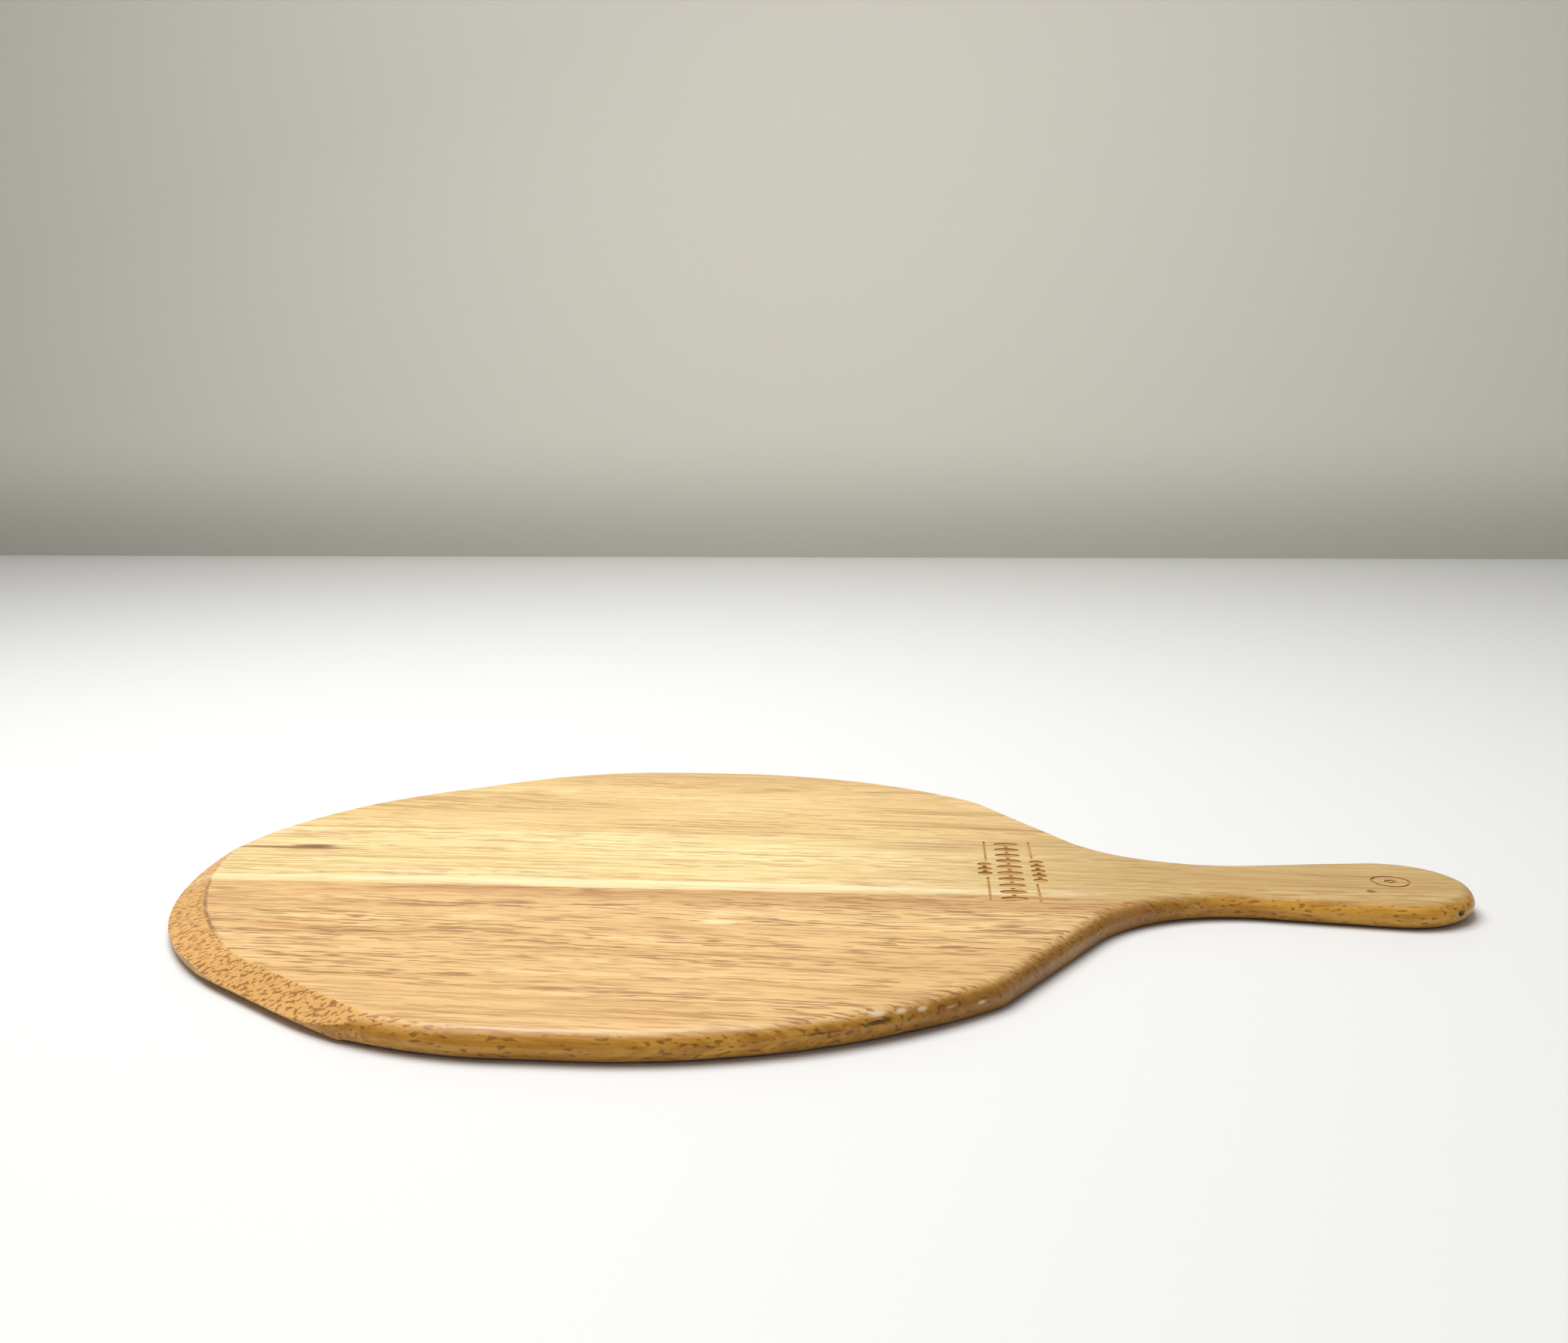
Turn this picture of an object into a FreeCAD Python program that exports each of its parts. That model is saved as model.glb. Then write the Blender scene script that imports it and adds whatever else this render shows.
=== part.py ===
import FreeCAD, Part
import math
import os

import Sketcher
from FreeCAD import Vector

# A round wooden pizza peel. Three boards are glued edge to edge, the peel is cut from that panel,
# its rim is rounded over, and the front of the blade is thinned from above and from below.
# Millimetres, +Z up, standing on its underside. X runs from the front of the blade to the handle's
# end, Y across the blade, and the origin is the middle of the underside.

doc = FreeCAD.newDocument("pizza_peel")

# ---- driving dimensions ----
SIZES = {
    "thickness": 9.0,
    "blade_radius": 152.5,
    "nose_radius": 139.3,  # the front of the blade is a tighter arc than its sides
    "nose_setback": 78.7,  # its centre, towards the front from the origin
    "cheek_radius": 110.0,  # each side's turn from the nose to the blade's straight side
    "cheek_setback": 71.6,
    "rear_setback": 52.0,
    "shoulder_x": 60.0,  # where the round blade meets the straight flank
    "shoulder_softening": 25.0,
    "neck_x": 139.0,
    "neck_half_width": 19.2,
    "neck_radius": 55.0,
    "knob_x": 191.8,  # centre of the handle's round end
    "knob_radius": 26.2,
    "rim_radius": 4.3,  # round-over, above and below
    "near_seam": -27.0,
    "far_seam": 45.0,
    "glue_thickness": 0.2,
    "bevel_radius": 204.7,  # upper bevel: a cone outside this circle on the top face
    "bevel_setback": 10.2,
    "bevel_offset": 35.4,  # the circle's centre is off the axis, so the bevel is widest on one side
    "bevel_slope": 0.46,
    "facet_angle": 52.4,  # a steeper flat facet on that side, this many degrees from the front
    "facet_distance": 141.0,  # from (facet_setback, 0) to the facet's upper edge
    "facet_setback": 63.6,
    "facet_slope": 0.8,
    "relief_radius": 164.0,  # underside relief: a cone outside this circle, which lifts the front edge
    "relief_setback": 29.0,
    "relief_slope": 0.15,
    "lift_distance": 143.3,  # under the facet the underside rises more steeply, outside this line
    "lift_slope": 0.5,
    "relief_reach": 6.0,  # how high the relief's cutter goes, past the front edge
    "thinning_end": 75.0,  # nothing is thinned behind this
    "overlap": 2.0,  # how far cutters reach over the top and under the bottom
    "margin": 60.0,  # how far cutters reach past the peel
}

sizes = doc.addObject("Spreadsheet::Sheet", "sizes")
for row, (alias, value) in enumerate(SIZES.items(), start=1):
    sizes.set("A%d" % row, alias)
    sizes.set("B%d" % row, str(value))
    sizes.setAlias("B%d" % row, alias)
doc.recompute()


def size(alias):
    """A driving dimension as the sheet holds it."""
    return float(sizes.get(alias))


# ---- the outline, one half of it, above the X axis ----
def tangent_point(outside, centre, radius, side):
    """Where a line from a point outside a circle touches it, on the side asked for."""
    away = outside - centre
    angle = math.atan2(away.y, away.x) + side * math.acos(radius / away.Length)
    return centre + Vector(radius * math.cos(angle), radius * math.sin(angle), 0)


def crossing_tangent(upper, upper_radius, lower, lower_radius):
    """The ends of the line that passes under one circle and over the next."""
    between = upper - lower
    tilt = math.acos((upper_radius + lower_radius) / between.Length)
    angle = math.atan2(between.y, between.x) - tilt
    normal = Vector(math.cos(angle), math.sin(angle), 0)
    return upper - normal * upper_radius, lower + normal * lower_radius


def arc(centre, radius, start, end):
    """An arc, anticlockwise from one point to the other."""
    first = math.atan2(start.y - centre.y, start.x - centre.x)
    last = math.atan2(end.y - centre.y, end.x - centre.x)
    circle = Part.Circle(centre, Vector(0, 0, 1), radius)
    return Part.ArcOfCircle(circle, first, last)


def outer_tangent(first, first_radius, second, second_radius):
    """The ends of the line that passes over two circles, to the left of the way from first to second."""
    between = second - first
    angle = math.atan2(between.y, between.x) + math.acos((first_radius - second_radius) / between.Length)
    normal = Vector(math.cos(angle), math.sin(angle), 0)
    return first + normal * first_radius, second + normal * second_radius


def outline_geometry():
    """Nose, cheek, side, shoulder, flank, neck and knob, in that order, closed along the axis."""
    radius = size("blade_radius")
    nose = Vector(-size("nose_setback"), 0, 0)
    cheek = Vector(-size("cheek_setback"), radius - size("cheek_radius"), 0)
    rear = Vector(-size("rear_setback"), 0, 0)
    shoulder_y = math.sqrt(radius**2 - (size("shoulder_x") - rear.x) ** 2)
    shoulder = Vector(size("shoulder_x"), shoulder_y, 0)
    neck = Vector(size("neck_x"), size("neck_half_width") + size("neck_radius"), 0)
    knob = Vector(size("knob_x"), 0, 0)
    flank_end = tangent_point(shoulder, neck, size("neck_radius"), 1)
    taper_start, taper_end = crossing_tangent(neck, size("neck_radius"), knob, size("knob_radius"))
    tip = nose - Vector(size("nose_radius"), 0, 0)
    heel = knob + Vector(size("knob_radius"), 0, 0)
    nose_end, cheek_start = outer_tangent(nose, size("nose_radius"), cheek, size("cheek_radius"))
    cheek_top = cheek + Vector(0, size("cheek_radius"), 0)
    rear_top = rear + Vector(0, radius, 0)
    return [
        arc(nose, size("nose_radius"), nose_end, tip),
        Part.LineSegment(nose_end, cheek_start),
        arc(cheek, size("cheek_radius"), cheek_top, cheek_start),
        Part.LineSegment(cheek_top, rear_top),
        arc(rear, radius, shoulder, rear_top),
        Part.LineSegment(shoulder, flank_end),
        arc(neck, size("neck_radius"), flank_end, taper_start),
        Part.LineSegment(taper_start, taper_end),
        arc(knob, size("knob_radius"), heel, taper_end),
        Part.LineSegment(heel, tip),
    ]


START, END, CENTRE = 1, 2, 3
AXIS = -1
NOSE, CHORD, CHEEK, SIDE, REAR, FLANK, NECK, TAPER, KNOB, MIDDLE = range(10)

outline = doc.addObject("Sketcher::SketchObject", "half_outline")
outline.addGeometry(outline_geometry(), False)
for rule in (
    ("Tangent", NOSE, START, CHORD, START),
    ("Tangent", CHORD, END, CHEEK, END),
    ("Tangent", CHEEK, START, SIDE, START),
    ("Tangent", SIDE, END, REAR, END),
    ("Coincident", REAR, START, FLANK, START),
    ("Tangent", FLANK, END, NECK, START),
    ("Tangent", NECK, END, TAPER, START),
    ("Tangent", TAPER, END, KNOB, END),
    ("Coincident", KNOB, START, MIDDLE, START),
    ("Coincident", MIDDLE, END, NOSE, END),
    ("Horizontal", SIDE),
    ("PointOnObject", NOSE, CENTRE, AXIS),
    ("PointOnObject", REAR, CENTRE, AXIS),
    ("PointOnObject", KNOB, CENTRE, AXIS),
    ("PointOnObject", NOSE, END, AXIS),
    ("PointOnObject", KNOB, START, AXIS),
):
    outline.addConstraint(Sketcher.Constraint(*rule))

for name, rule, formula in (
    ("blade_radius", ("Radius", REAR), "sizes.blade_radius"),
    ("nose_radius", ("Radius", NOSE), "sizes.nose_radius"),
    ("cheek_radius", ("Radius", CHEEK), "sizes.cheek_radius"),
    ("neck_radius", ("Radius", NECK), "sizes.neck_radius"),
    ("knob_radius", ("Radius", KNOB), "sizes.knob_radius"),
    ("nose_setback", ("DistanceX", NOSE, CENTRE, AXIS, START), "sizes.nose_setback"),
    ("cheek_setback", ("DistanceX", CHEEK, CENTRE, AXIS, START), "sizes.cheek_setback"),
    ("rear_setback", ("DistanceX", REAR, CENTRE, AXIS, START), "sizes.rear_setback"),
    ("shoulder_x", ("DistanceX", AXIS, START, FLANK, START), "sizes.shoulder_x"),
    ("neck_x", ("DistanceX", AXIS, START, NECK, CENTRE), "sizes.neck_x"),
    ("neck_y", ("DistanceY", AXIS, START, NECK, CENTRE), "sizes.neck_half_width + sizes.neck_radius"),
    ("knob_x", ("DistanceX", AXIS, START, KNOB, CENTRE), "sizes.knob_x"),
):
    value = sum(size(term.strip().split(".")[1]) for term in formula.split("+"))
    number = outline.addConstraint(Sketcher.Constraint(*rule, value))
    outline.renameConstraint(number, name)
    outline.setExpression("Constraints." + name, formula)

# ---- the panel, cut to the outline and rounded over ----
half = doc.addObject("Part::Extrusion", "half_blank")
half.Base = outline
half.DirMode = "Custom"
half.Dir = Vector(0, 0, 1)
half.Solid = True
half.setExpression("LengthFwd", "sizes.thickness")

other_half = doc.addObject("Part::Mirroring", "other_half_blank")
other_half.Source = half
other_half.Normal = Vector(0, 1, 0)

blank = doc.addObject("Part::Fuse", "blank")
blank.Base = half
blank.Tool = other_half
blank.Refine = True
doc.recompute()


def edge_numbers(shape, wanted):
    """The numbers of the edges that pass a test, counted from 1 as FreeCAD does."""
    return [number for number, edge in enumerate(shape.Edges, start=1) if wanted(edge)]


def is_shoulder(edge):
    """The upright edge where the round blade meets the flank."""
    box = edge.BoundBox
    return box.ZLength > size("thickness") / 2 and abs(box.XMin - size("shoulder_x")) < 1


def is_rim(edge):
    """An edge that lies in the top or in the underside."""
    return edge.BoundBox.ZLength < 0.01


softened = doc.addObject("Part::Fillet", "softened_blank")
softened.Base = blank
shoulder_radius = size("shoulder_softening")
softened.Edges = [(n, shoulder_radius, shoulder_radius) for n in edge_numbers(blank.Shape, is_shoulder)]
doc.recompute()

rounded = doc.addObject("Part::Fillet", "rounded_blank")
rounded.Base = softened
rim_radius = size("rim_radius")
rounded.Edges = [(n, rim_radius, rim_radius) for n in edge_numbers(softened.Shape, is_rim)]
doc.recompute()


# ---- what thins the front ----
def placed(kind, name, **formulas):
    """A primitive whose sizes and place are formulas on the sheet."""
    shape = doc.addObject(kind, name)
    for key, formula in formulas.items():
        shape.setExpression(key.replace("_", ".Base.") if key[0] == "P" else key, formula)
    return shape


def less(name, base, tool):
    cut = doc.addObject("Part::Cut", name)
    cut.Base = base
    cut.Tool = tool
    return cut


FRONT_BLOCK = {
    "Length": "sizes.nose_setback + sizes.nose_radius + sizes.margin - sizes.thinning_end",
    "Width": "2 * (sizes.blade_radius + sizes.margin)",
    "Placement_x": "-(sizes.nose_setback + sizes.nose_radius + sizes.margin)",
    "Placement_y": "-(sizes.blade_radius + sizes.margin)",
}

bevel_block = placed("Part::Box", "bevel_block", Height="sizes.thickness + sizes.overlap", **FRONT_BLOCK)
bevel_cone = placed(
    "Part::Cone", "bevel_cone",
    Radius1="sizes.bevel_radius + sizes.thickness / sizes.bevel_slope",
    Radius2="sizes.bevel_radius - sizes.overlap / sizes.bevel_slope",
    Height="sizes.thickness + sizes.overlap",
    Placement_x="-sizes.bevel_setback",
    Placement_y="sizes.bevel_offset",
)
bevelled = less("bevelled_blank", rounded, less("bevel_cutter", bevel_block, bevel_cone))

facet = doc.addObject("Part::Box", "facet_cutter")
facet.setExpression("Length", "2 * sizes.margin")
facet.setExpression("Width", "4 * sizes.margin")
facet.setExpression("Height", "sizes.margin")
facing = math.radians(180 + size("facet_angle"))
outward = Vector(math.cos(facing), math.sin(facing), 0)
along = Vector(-outward.y, outward.x, 0)
downhill = (outward - Vector(0, 0, size("facet_slope"))).normalize()
upper_edge = Vector(-size("facet_setback"), 0, size("thickness")) + outward * size("facet_distance")
corner = upper_edge - downhill * size("margin") - along * 2 * size("margin")
facet.Placement = FreeCAD.Placement(corner, FreeCAD.Rotation(downhill, along, Vector(0, 0, 1), "XYZ"))
faceted = less("faceted_blank", bevelled, facet)

lift = doc.addObject("Part::Box", "lift_cutter")
lift.setExpression("Length", "2 * sizes.margin")
lift.setExpression("Width", "4 * sizes.margin")
lift.setExpression("Height", "sizes.margin")
uphill = (outward + Vector(0, 0, size("lift_slope"))).normalize()
above = uphill.cross(along)
lower_edge = Vector(-size("facet_setback"), 0, 0) + outward * size("lift_distance")
corner = lower_edge - uphill * size("margin") - along * 2 * size("margin") - above * size("margin")
lift.Placement = FreeCAD.Placement(corner, FreeCAD.Rotation(uphill, along, Vector(0, 0, 1), "XYZ"))
lifted = less("lifted_blank", faceted, lift)

relief_block = placed(
    "Part::Box", "relief_block",
    Height="sizes.relief_reach + sizes.overlap",
    Placement_z="-sizes.overlap",
    **FRONT_BLOCK,
)
relief_cone = placed(
    "Part::Cone", "relief_cone",
    Radius1="sizes.relief_radius - sizes.overlap / sizes.relief_slope",
    Radius2="sizes.relief_radius + sizes.relief_reach / sizes.relief_slope",
    Height="sizes.relief_reach + sizes.overlap",
    Placement_x="-sizes.relief_setback",
    Placement_z="-sizes.overlap",
)
peel = less("thinned_blank", lifted, less("relief_cutter", relief_block, relief_cone))
doc.recompute()

# ---- the boards and the glue between them: each is a strip of the finished outline ----
OUTER = "(sizes.blade_radius + sizes.margin)"
HALF_GLUE = "sizes.glue_thickness / 2"
STRIPS = (
    ("near_stave", "-" + OUTER, "sizes.near_seam - " + HALF_GLUE),
    ("near_glue_line", "sizes.near_seam - " + HALF_GLUE, "sizes.near_seam + " + HALF_GLUE),
    ("handle_stave", "sizes.near_seam + " + HALF_GLUE, "sizes.far_seam - " + HALF_GLUE),
    ("far_glue_line", "sizes.far_seam - " + HALF_GLUE, "sizes.far_seam + " + HALF_GLUE),
    ("far_stave", "sizes.far_seam + " + HALF_GLUE, OUTER),
)
pieces = []
for name, low, high in STRIPS:
    strip = doc.addObject("Part::Box", name + "_strip")
    strip.setExpression("Length", "2 * (sizes.knob_x + sizes.knob_radius + sizes.margin)")
    strip.setExpression("Width", "(%s) - (%s)" % (high, low))
    strip.setExpression("Height", "sizes.thickness + 2 * sizes.margin")
    strip.setExpression("Placement.Base.x", "-(sizes.knob_x + sizes.knob_radius + sizes.margin)")
    strip.setExpression("Placement.Base.y", low)
    strip.setExpression("Placement.Base.z", "-sizes.margin")
    piece = doc.addObject("Part::Common", name)
    piece.Base = peel
    piece.Tool = strip
    piece.Label = name
    pieces.append(piece)
doc.recompute()

# ---- checks, then the files ----
for item in doc.Objects:
    if "Invalid" in item.State or "Error" in item.State:
        raise RuntimeError("%s failed: %s" % (item.Name, item.State))
for piece in pieces:
    shape = piece.Shape
    if shape.isNull() or not shape.isValid() or len(shape.Solids) != 1:
        raise RuntimeError("%s isn't one valid solid" % piece.Label)

os.makedirs("parts", exist_ok=True)
for piece in pieces:
    piece.Shape.exportStep("parts/%s.step" % piece.Label)
    box = piece.Shape.optimalBoundingBox()
    print("%-15s volume %9.1f mm3  x %.2f..%.2f  y %.2f..%.2f  z %.2f..%.2f" % (
        piece.Label, piece.Shape.Volume, box.XMin, box.XMax, box.YMin, box.YMax, box.ZMin, box.ZMax))
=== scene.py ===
import math

import bmesh
import bpy
from mathutils import Matrix, Vector


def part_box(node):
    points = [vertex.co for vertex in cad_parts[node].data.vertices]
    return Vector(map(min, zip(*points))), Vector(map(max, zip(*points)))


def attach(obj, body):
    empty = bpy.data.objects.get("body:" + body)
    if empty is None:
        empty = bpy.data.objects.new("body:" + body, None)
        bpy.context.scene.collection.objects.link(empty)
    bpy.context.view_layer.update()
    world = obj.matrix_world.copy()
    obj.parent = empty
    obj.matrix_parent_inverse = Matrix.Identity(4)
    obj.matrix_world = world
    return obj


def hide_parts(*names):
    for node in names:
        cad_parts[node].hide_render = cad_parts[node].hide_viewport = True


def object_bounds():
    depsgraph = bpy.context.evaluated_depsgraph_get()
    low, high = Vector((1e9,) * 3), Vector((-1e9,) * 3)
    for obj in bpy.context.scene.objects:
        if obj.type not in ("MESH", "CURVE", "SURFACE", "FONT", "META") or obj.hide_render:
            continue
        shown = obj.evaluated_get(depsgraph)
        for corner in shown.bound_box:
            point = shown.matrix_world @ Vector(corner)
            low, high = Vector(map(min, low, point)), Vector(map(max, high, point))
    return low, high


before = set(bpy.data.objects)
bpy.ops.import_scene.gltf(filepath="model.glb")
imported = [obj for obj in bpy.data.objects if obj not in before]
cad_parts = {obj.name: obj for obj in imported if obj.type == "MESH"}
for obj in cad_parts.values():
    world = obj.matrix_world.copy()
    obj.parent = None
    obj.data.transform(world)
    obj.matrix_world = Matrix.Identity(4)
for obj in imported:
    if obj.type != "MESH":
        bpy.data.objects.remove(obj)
cad_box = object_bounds()

# ---- sizes, in millimetres, in the frame of the CAD model ----
MM = 0.001


def node_box(name):
    """A CAD node's lowest and highest corners, in millimetres."""
    low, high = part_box(name)
    return Vector(low) / MM, Vector(high) / MM


PEEL_LOW, PEEL_HIGH = Vector(cad_box[0]) / MM, Vector(cad_box[1]) / MM
HANDLE_HIGH = node_box("handle_stave")[1]
THICKNESS = PEEL_HIGH.z
BLADE_RADIUS = PEEL_HIGH.y
TIP_X = PEEL_LOW.x
HEEL_X = HANDLE_HIGH.x
NOSE_CENTRE = Vector((-78.7, 0))  # the front is a tighter arc than the blade's sides
NOSE_RADIUS = NOSE_CENTRE.x - TIP_X
CHEEK_RADIUS = 110.0
CHEEK_CENTRE = Vector((-71.6, BLADE_RADIUS - CHEEK_RADIUS))
REAR_CENTRE = Vector((-52.0, 0))
SHOULDER_X = 60.0
SHOULDER_SOFTENING = 25.0
NECK_RADIUS = 55.0
NECK_HALF_WIDTH = 19.2
NECK_CENTRE = Vector((139.0, NECK_HALF_WIDTH + NECK_RADIUS))
KNOB_RADIUS = 26.2
KNOB_CENTRE = Vector((HEEL_X - KNOB_RADIUS, 0))
RIM_REACH = 4.7  # how far in from the edge the round-over starts
RIM_START = math.radians(9)  # the two round-overs meet in a blunt ridge, not in a full curve
THINNED_TO = -75.0  # the front is thinned from the tip to here
BEVEL_CENTRE = Vector((-10.2, 35.4))  # the upper bevel slopes down outside a circle round this
BEVEL_RADIUS = 204.7
BEVEL_SLOPE = 0.46
FACET_CENTRE = Vector((-63.6, 0))  # the near side has a steeper flat facet as well
FACET_TURN = math.radians(232.4)
FACET_NORMAL = Vector((math.cos(FACET_TURN), math.sin(FACET_TURN)))
FACET_DISTANCE = 141.0
FACET_SLOPE = 0.8
RELIEF_CENTRE = Vector((-29.0, 0))  # the underside rises outside a circle round this
RELIEF_RADIUS = 164.0
RELIEF_SLOPE = 0.15
LIFT_DISTANCE = 143.3  # and more steeply under the facet
LIFT_SLOPE = 0.5
NEAR_SEAM = [node_box("near_glue_line")[side].y for side in (0, 1)]
FAR_SEAM = [node_box("far_glue_line")[side].y for side in (0, 1)]
SHARP = math.radians(40)  # edges that turn by more than this stay crisp


# ---- materials ----
def linear(hex_colour):
    """An sRGB hex colour as the linear one that shaders take."""
    parts = [int(hex_colour[i:i + 2], 16) / 255 for i in (1, 3, 5)]
    return tuple(c / 12.92 if c <= 0.04045 else ((c + 0.055) / 1.055) ** 2.4 for c in parts) + (1.0,)


def add(tree, kind, inputs=None, **settings):
    """A node of this kind, with its settings, and its inputs set to values or linked to sockets."""
    node = tree.nodes.new(kind)
    for name, value in settings.items():
        setattr(node, name, value)
    for name, value in (inputs or {}).items():
        if isinstance(value, bpy.types.NodeSocket):
            tree.links.new(value, node.inputs[name])
        else:
            node.inputs[name].default_value = value
    return node


def new_material(name):
    """A material with only a Principled shader and its output."""
    material = bpy.data.materials.new(name)
    material.use_nodes = True
    tree = material.node_tree
    tree.nodes.clear()
    shader = add(tree, "ShaderNodeBsdfPrincipled")
    add(tree, "ShaderNodeOutputMaterial", {"Surface": shader.outputs["BSDF"]})
    return material, tree, shader


def maths(tree, operation, a, b=0.0, clamp=False):
    """One sum of two numbers or sockets."""
    return add(tree, "ShaderNodeMath", {0: a, 1: b}, operation=operation, use_clamp=clamp).outputs[0]


def ramp(tree, value, low, high, to_low=0.0, to_high=1.0):
    """A value brought from one range to another, smoothly."""
    node = add(tree, "ShaderNodeMapRange", {
        "Value": value, "From Min": low, "From Max": high, "To Min": to_low, "To Max": to_high,
    }, interpolation_type="SMOOTHSTEP")
    return node.outputs["Result"]


def mixed(tree, factor, a, b, blend="MIX"):
    """Two colours mixed."""
    node = add(tree, "ShaderNodeMix", data_type="RGBA", blend_type=blend)
    for socket, value in ((node.inputs[0], factor), (node.inputs[6], a), (node.inputs[7], b)):
        if isinstance(value, bpy.types.NodeSocket):
            tree.links.new(value, socket)
        else:
            socket.default_value = value
    return node.outputs[2]


def noise_of(tree, vector, length, width, detail=2.0, roughness=0.5):
    """Noise drawn out along the grain: its features are this long and this wide, in millimetres."""
    stretched = add(tree, "ShaderNodeVectorMath", {
        0: vector, 1: (1 / length, 1 / width, 1 / width)}, operation="MULTIPLY")
    noise = add(tree, "ShaderNodeTexNoise", {
        "Vector": stretched.outputs[0], "Scale": 1.0, "Detail": detail, "Roughness": roughness})
    return noise.outputs["Fac"]


def spot(tree, place, centre, radii, ragged=None):
    """1 in the middle of an ellipsoid and 0 outside it, with a ragged edge if noise is given."""
    away = add(tree, "ShaderNodeVectorMath", {0: place, 1: centre}, operation="SUBTRACT")
    scaled = add(tree, "ShaderNodeVectorMath", {
        0: away.outputs[0], 1: tuple(1 / r for r in radii)}, operation="MULTIPLY")
    distance = add(tree, "ShaderNodeVectorMath", {0: scaled.outputs[0]}, operation="LENGTH")
    value = distance.outputs["Value"]
    if ragged is not None:
        nibbled = maths(tree, "MULTIPLY", maths(tree, "SUBTRACT", ragged, 0.5), 0.8)
        value = maths(tree, "ADD", value, nibbled)
    return ramp(tree, value, 1.0, 0.4)


WOODS = {
    # light, middle and dark wood, then its open pores; how strong streaks, pores and darkening towards the
    # handle are; how far the grain wanders and how much it runs off straight; where the rings' middle lies;
    # patches of another tone: centre, radii, colour, strength
    "pinkish_hardwood": dict(
        light="#F1CC90", middle="#DFB476", dark="#BD8A51", pore="#8A5A2E", streaks=0.75, pores=0.80,
        aged=0.45, wander=5.0, slope=0.03, pith=-60.0, patches=(
            ((20, -33, 9), (190, 13, 40), "#B27E47", 0.45),
            ((-27, -60, 9), (8, 3.4, 9), "#F6DAA6", 0.70),
            ((-104, -60, 9), (11, 2.6, 9), "#F6DAA6", 0.40),
            ((-60, -114, 9), (120, 3.2, 9), "#C08C50", 0.30),
            ((25, -130.6, 7.9), (3.0, 3.0, 1.0), "#E6D2AC", 0.85),
            ((31.5, -127.2, 7.6), (2.6, 3.0, 0.8), "#E6D2AC", 0.80),
            ((37, -124, 7.0), (2.6, 3.0, 0.8), "#E6D2AC", 0.80),
            ((45, -118.5, 5.8), (2.2, 2.6, 0.7), "#DEC79E", 0.60),
            ((53, -111.5, 4.6), (2.0, 2.4, 0.8), "#E6D2AC", 0.75),
            ((25, -131.6, 6.0), (8.0, 3.2, 0.8), "#4E2E0E", 0.85),
            ((8, -138.8, 5.6), (26, 3.0, 0.5), "#6B4214", 0.60),
        )),
    "pale_hardwood": dict(
        light="#F8E1A8", middle="#EBCF90", dark="#CBA466", pore="#A27842", streaks=1.0, pores=0.55,
        aged=1.0, wander=3.0, slope=0.02, pith=20.0, patches=(
            ((-70, -21, 9), (200, 5.0, 40), "#FBEBC4", 0.50),
            ((-193, 15.2, 8), (30, 2.6, 8), "#8A5A2C", 0.9),
            ((-186, 17.6, 8), (11, 3.0, 6), "#6E421C", 0.9),
            ((182.3, -11.9, 9), (2.0, 1.8, 1), "#54381C", 0.9),
            ((208.6, -20.0, 4.6), (2.0, 2.4, 1.5), "#4A2C10", 0.8),
        )),
    "golden_hardwood": dict(
        light="#F1D092", middle="#E3BF7C", dark="#BF955A", pore="#9A703A", streaks=0.95, pores=0.50,
        aged=0.45, wander=7.0, slope=0.06, pith=102.0, patches=(
            ((-50, 146, 9), (190, 30, 40), "#C49A5E", 0.45),
            ((25, 104, 9), (30, 3.0, 9), "#C1955A", 0.40),
            ((-150, 104, 9), (22, 2.4, 9), "#C1955A", 0.35),
        )),
}


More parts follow.
